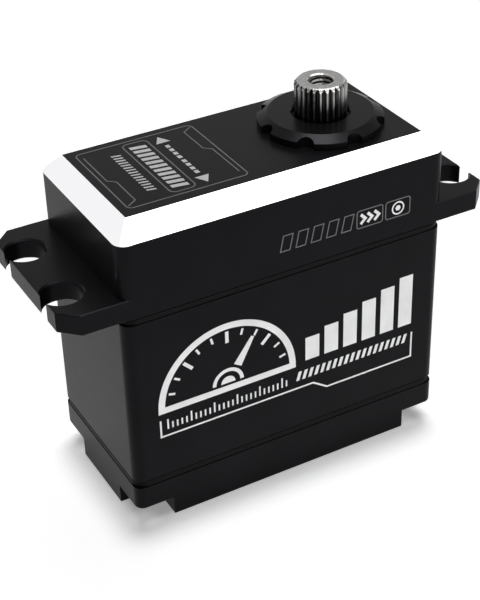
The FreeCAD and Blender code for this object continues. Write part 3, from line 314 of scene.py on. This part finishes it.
class Marking:
    """Ink on one flat face of the case. Its marks are given in millimetres across and up that face."""

    def __init__(self, name, origin, across, up):
        self.name = name
        self.origin = Vector(origin)
        self.across = Vector(across)
        self.up = Vector(up)
        self.shape = bmesh.new()

    def place(self, point):
        return self.origin + (self.across * point[0] + self.up * point[1]) * MM

    def area(self, points):
        """A filled mark with that outline."""
        self.shape.faces.new([self.shape.verts.new(self.place(point)) for point in points])

    def bar(self, left, low, width, height, lean=0.0):
        """An upright bar whose top leans that far to the right."""
        high = low + height
        self.area([(left, low), (left + width, low), (left + width + lean, high), (left + lean, high)])

    def bars(self, count, left, pitch, low, width, height, lean=0.0, growth=0.0):
        """A row of bars, each taller by the growth than the one to its left."""
        for i in range(count):
            self.bar(left + pitch * i, low, width, height + growth * i, lean)

    def line(self, points, width, closed=False):
        """A line of even width through the points, mitred at its corners."""
        points = [Vector(point) for point in points]
        count = len(points)
        sides = []
        for i, point in enumerate(points):
            before = point - points[i - 1] if closed or i else points[1] - point
            after = points[(i + 1) % count] - point if closed or i < count - 1 else before
            turned = [Vector((-leg.y, leg.x)).normalized() for leg in (before, after)]
            mitre = (turned[0] + turned[1]).normalized()
            reach = mitre * (width / 2 / mitre.dot(turned[0]))
            sides.append([self.shape.verts.new(self.place(point + reach * side)) for side in (1, -1)])
        for i in range(count if closed else count - 1):
            a, b = sides[i], sides[(i + 1) % count]
            self.shape.faces.new((a[0], a[1], b[1], b[0]))

    def finish(self, material):
        """Gives the marks their thickness, from just inside the face to just above it."""
        normal = self.across.cross(self.up)
        flat = list(self.shape.faces)
        raised = bmesh.ops.extrude_face_region(self.shape, geom=flat)["geom"]
        upper = [item for item in raised if isinstance(item, bmesh.types.BMVert)]
        lower = [vert for vert in self.shape.verts if vert not in set(upper)]
        bmesh.ops.translate(self.shape, verts=upper, vec=normal * INK_HEIGHT)
        bmesh.ops.translate(self.shape, verts=lower, vec=-normal * INK_ROOT)
        bmesh.ops.recalc_face_normals(self.shape, faces=self.shape.faces)
        mesh = bpy.data.meshes.new(self.name)
        self.shape.to_mesh(mesh)
        self.shape.free()
        mesh.materials.append(material)
        piece = bpy.data.objects.new(self.name, mesh)
        bpy.context.scene.collection.objects.link(piece)
        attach(piece, BODY)
        MARKS.append(piece)


def angle_dial(mark, centre, radius):
    """A half-round scale with its ticks, hub and pointer."""
    band = 0.8
    mark.line(arc_points(centre, radius - band / 2, 0, 180, 48), band, closed=True)
    for degrees in range(15, 180, 15):
        depth, width = (2.6, 0.42) if degrees % 45 == 0 else (1.9, 0.28)
        outer = on_circle(centre, radius - 1.1, degrees)
        inner = on_circle(centre, radius - depth, degrees)
        mark.line((inner, outer), width)
    hub = (centre[0], centre[1] + 0.75)
    mark.line(arc_points(hub, 1.75, 0, 180, 24), 0.45)
    mark.area(arc_points(hub, 0.9, 0, 180, 16))
    pointer = ((2.4, 71), (2.4, 45), (6.1, 56), (6.1, 60))
    mark.area([on_circle(hub, reach, degrees) for reach, degrees in pointer])


def front_marking():
    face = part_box("middle_case")[0].y
    mark = Marking("front_marking", (0.0, face, 0.0), (1, 0, 0), (0, 0, 1))
    angle_dial(mark, (-8.2, 15.25), 8.75)
    mark.bars(6, left=1.85, pitch=2.55, low=15.3, width=1.85, height=3.1, growth=0.76)
    mark.line([(-16.8, 14.0), (-16.8, 11.75), (2.9, 11.75), (4.8, 10.5), (16.6, 10.5), (16.6, 14.0)], 0.22)
    for i in range(27):
        mark.bar(-16.0 + 0.585 * i, low=12.6, width=0.2, height=1.35 if i % 5 == 0 else 0.85)
    mark.bars(19, left=0.6, pitch=0.81, low=12.8, width=0.42, height=1.2, lean=0.35)
    mark.finish(MATERIALS["white_ink"])


def upper_marking():
    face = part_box("upper_case")[0].y
    middle = 31.75
    dot = (13.95, middle)
    mark = Marking("upper_marking", (0.0, face, 0.0), (1, 0, 0), (0, 0, 1))
    for i in range(3):
        left = 9.0 + 0.9 * i
        mark.line([(left, middle - 0.6), (left + 0.6, middle), (left, middle + 0.6)], 0.36)
    mark.line(arc_points(dot, 0.75, 0, 345, 23), 0.18, closed=True)
    mark.area(arc_points(dot, 0.36, 0, 300, 5))
    mark.finish(MATERIALS["white_ink"])
    outline = Marking("upper_outlines", (0.0, face, 0.0), (1, 0, 0), (0, 0, 1))
    cell = ((0.0, 30.8), (1.2, 30.8), (1.6, 32.7), (0.4, 32.7))
    for i in range(5):
        left = -1.3 + 1.95 * i
        outline.line([(left + across, up) for across, up in cell], THIN, closed=True)
    for left, right in ((8.5, 11.9), (12.3, 15.55)):
        outline.line(rounded_outline(left, 30.65, right, 32.85, 0.3), THIN, closed=True)
    outline.finish(GREY_INK)


def top_marking():
    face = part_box("upper_case")[1].z
    middle = (-0.25, -10.05)
    arrow, dash = -7.45, 0.64
    mark = Marking("top_marking", (0.0, 0.0, face), (0, -1, 0), (1, 0, 0))
    mark.bars(11, left=-5.6, pitch=0.995, low=-11.3, width=0.6, height=1.9, lean=0.3)
    mark.bars(15, left=-4.8, pitch=0.62, low=-13.85, width=0.26, height=1.05, lean=0.2)
    for side in (1, -1):
        head = [(6.0, 0.0), (4.5, 0.85), (4.5, -0.85)][::side]
        mark.area([(middle[0] + side * across, arrow + up) for across, up in head])
        for i in range(4):
            centre = middle[0] + side * (0.55 + 0.95 * i)
            mark.bar(centre - dash / 2, low=arrow - 0.25, width=dash, height=0.5)
    mark.finish(MATERIALS["white_ink"])
    outline = Marking("top_outlines", (0.0, 0.0, face), (0, -1, 0), (1, 0, 0))
    outline.line(rounded_outline(-7.05, -17.15, 6.6, -2.95, 0.6), 0.14, closed=True)
    for side in (1, -1):
        tab = [(-6.3, 6.85), (-5.5, 5.7), (-1.0, 5.7), (-0.3, 6.5), (5.7, 6.5)]
        outline.line([(middle[0] + side * across, middle[1] + side * up) for across, up in tab], 0.13)
    outline.line(rounded_outline(-6.45, -11.85, 5.95, -8.85, 0.7), 0.14, closed=True)
    outline.finish(GREY_INK)


GREY_INK = moulded("grey_ink", [0.12, 0.12, 0.125], 0.5).material
front_marking()
upper_marking()
top_marking()


# ---------------------------------------------------------------------------------------------
# studio
# ---------------------------------------------------------------------------------------------
AIM = Vector((-3.921, -5.459, 22.954)) * MM
CAMERA_AZIMUTH = math.radians(-28.346)
CAMERA_ELEVATION = math.radians(33.284)
CAMERA_ROLL = math.radians(-1.686)
CAMERA_DISTANCE = 165.0 * MM
CAMERA_LENS = 88.075
SOFTBOX_DISTANCE = 0.5
FLOOR_LIGHT = 0.66
FLOOR_GLOW = 0.48
PAINTED_SHADE_FADE = 1.0 * MM                # the painted shade under the case fades in over this far inside the case's edges
LOW_STRIP = 4.0                     # brightness of the strip at the horizon
STUDIO_RADIUS = 1.6
STUDIO_SIDES = 96
BACKDROP_HEIGHT = 2.0
WHITE = (1.0, 1.0, 1.0, 1.0)


def direction(azimuth, elevation):
    """The unit vector towards a viewer at that azimuth and elevation. Azimuth 0 is in front, at -Y."""
    flat = math.cos(elevation)
    return Vector((math.sin(azimuth) * flat, -math.cos(azimuth) * flat, math.sin(elevation)))


def camera():
    data = bpy.data.cameras.new("camera")
    data.lens = CAMERA_LENS
    data.sensor_width = 36.0
    data.clip_start = 0.01
    data.clip_end = 10.0
    made = bpy.data.objects.new("camera", data)
    back = direction(CAMERA_AZIMUTH, CAMERA_ELEVATION)
    made.location = AIM + back * CAMERA_DISTANCE
    made.rotation_mode = "QUATERNION"
    made.rotation_quaternion = Quaternion(back, CAMERA_ROLL) @ back.to_track_quat("Z", "Y")
    bpy.context.scene.collection.objects.link(made)
    bpy.context.scene.camera = made


def place_light(name, data, azimuth, elevation):
    """Puts a light at those degrees, facing the object. The camera doesn't see it."""
    made = bpy.data.objects.new(name, data)
    towards = direction(math.radians(azimuth), math.radians(elevation))
    made.location = AIM + towards * SOFTBOX_DISTANCE
    made.rotation_mode = "QUATERNION"
    made.rotation_quaternion = towards.to_track_quat("Z", "Y")
    made.visible_camera = False
    bpy.context.scene.collection.objects.link(made)
    return made


def light_group(name, members):
    made = bpy.data.collections.new(name)
    for member in members:
        made.objects.link(member)
    return made


OBJECT_GROUP = light_group("the_object", [*NODES.values(), *MARKS])


def softbox(name, azimuth, elevation, size, radiance, **seen):
    """A square soft light. Its power follows from how bright its surface looks."""
    data = bpy.data.lights.new(name, "AREA")
    data.shape = "SQUARE"
    data.size = size
    data.energy = radiance * math.pi * size * size
    made = place_light(name, data, azimuth, elevation)
    for kind, value in seen.items():
        setattr(made, "visible_" + kind, value)
    made.light_linking.receiver_collection = OBJECT_GROUP


def floor_light(floor_piece):
    """A wide soft light from behind and above for the floor alone, which only the foot of the case shades."""
    data = bpy.data.lights.new("floor_light", "SUN")
    data.angle = math.radians(38.0)
    data.energy = FLOOR_LIGHT * math.pi
    made = place_light("floor_light", data, azimuth=142.0, elevation=61.0)
    made.light_linking.receiver_collection = light_group("lit_by_floor_light", [floor_piece])
    made.light_linking.blocker_collection = light_group("shading_the_floor", [NODES["bottom_cover"]])


def world():
    """A white studio, dimmer in front of the case than behind it, and brightest low at the front right."""
    made = bpy.data.worlds.new("studio")
    made.use_nodes = True
    tree = made.node_tree
    where = tree.nodes.new("ShaderNodeTexCoord").outputs["Generated"]

    def ramp(towards, start, end, low, high):
        """Goes from low to high as the cosine to that direction goes from start to end."""
        dot = tree.nodes.new("ShaderNodeVectorMath")
        dot.operation = "DOT_PRODUCT"
        dot.inputs[1].default_value = Vector(towards).normalized()
        tree.links.new(where, dot.inputs[0])
        made_ramp = tree.nodes.new("ShaderNodeMapRange")
        tree.links.new(dot.outputs["Value"], made_ramp.inputs["Value"])
        for socket, number in (("From Min", start), ("From Max", end), ("To Min", low), ("To Max", high)):
            made_ramp.inputs[socket].default_value = number
        return made_ramp.outputs["Result"]

    def combine(operation, a, b):
        node = tree.nodes.new("ShaderNodeMath")
        node.operation = operation
        tree.links.new(a, node.inputs[0])
        tree.links.new(b, node.inputs[1])
        return node.outputs[0]

    behind_left, upwards, front_right = (-0.6, 0.75, 0.25), (0, 0, 1), (0.7, -0.7, 0)
    studio = ramp(behind_left, 0.2, 0.95, low=0.68, high=0.98)
    near_horizon = ramp(upwards, 0.12, 0.25, low=1.0, high=0.0)
    strip = combine("MULTIPLY", near_horizon, ramp(front_right, 0.2, 0.7, low=0.0, high=LOW_STRIP))
    shade = tree.nodes["Background"]
    shade.inputs["Color"].default_value = WHITE
    tree.links.new(combine("ADD", studio, strip), shade.inputs["Strength"])
    bpy.context.scene.world = made
    made.cycles_visibility.diffuse = False


def stage_piece(name, shape, material):
    """A piece of the studio, which isn't part of the servo."""
    mesh = bpy.data.meshes.new(name)
    shape.to_mesh(mesh)
    shape.free()
    mesh.materials.append(material)
    made = bpy.data.objects.new(name, mesh)
    bpy.context.scene.collection.objects.link(made)
    return made


def floor():
    """A pale floor that glows a little, with painted shade under the case, where its glow is dimmed."""
    shader = Shader("floor", Specular_IOR_Level=0.1, Roughness=0.9)
    tone = shader.noise(scale=3.0)
    shader.set("Base Color", shader.mix(tone, (0.93, 0.93, 0.93, 1.0), (0.95, 0.95, 0.95, 1.0)))
    split = shader.node("ShaderNodeSeparateXYZ", Vector=shader.position())
    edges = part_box("bottom_cover")[1]
    outside = []
    for axis, edge in (("X", edges.x), ("Y", edges.y)):
        reach = shader.math("ABSOLUTE", split.outputs[axis])
        outside.append(shader.remap(reach, 0.0, 1.0, edge - PAINTED_SHADE_FADE, edge))
    clear = shader.math("MAXIMUM", *outside)
    # painted shade: under the case the floor's glow is dimmed to 0.6
    shader.set("Emission Color", shader.mix(clear, (0.6, 0.6, 0.6, 1.0), WHITE))
    shader.set("Emission Strength", FLOOR_GLOW)
    shape = bmesh.new()
    bmesh.ops.create_circle(shape, cap_ends=True, radius=STUDIO_RADIUS, segments=STUDIO_SIDES)
    return stage_piece("floor", shape, shader.material)


def backdrop():
    """A white wall all round, which only the camera sees."""
    material = bpy.data.materials.new("backdrop")
    material.use_nodes = True
    tree = material.node_tree
    glow = tree.nodes.new("ShaderNodeEmission")
    glow.inputs["Color"].default_value = WHITE
    tree.links.new(glow.outputs[0], tree.nodes["Material Output"].inputs["Surface"])
    shape = bmesh.new()
    bmesh.ops.create_cone(shape, segments=STUDIO_SIDES, radius1=STUDIO_RADIUS, radius2=STUDIO_RADIUS,
                          depth=BACKDROP_HEIGHT)
    made = stage_piece("backdrop", shape, material)
    made.location.z = BACKDROP_HEIGHT / 2
    made.visible_glossy = False
    made.visible_diffuse = False
    made.visible_shadow = False
    made.visible_transmission = False


camera()
world()
floor_light(floor())
backdrop()
softbox("key", azimuth=42.0, elevation=53.0, size=0.44, radiance=3.2, diffuse=False)
softbox("ring_fill", azimuth=0.0, elevation=90.0, size=0.3, radiance=13.0, diffuse=False)
softbox("front_fill", azimuth=-15.0, elevation=10.0, size=0.3, radiance=3.0, glossy=False)
softbox("top_fill", azimuth=0.0, elevation=90.0, size=0.3, radiance=7.0, glossy=False)
bpy.context.scene.view_settings.view_transform = "Standard"
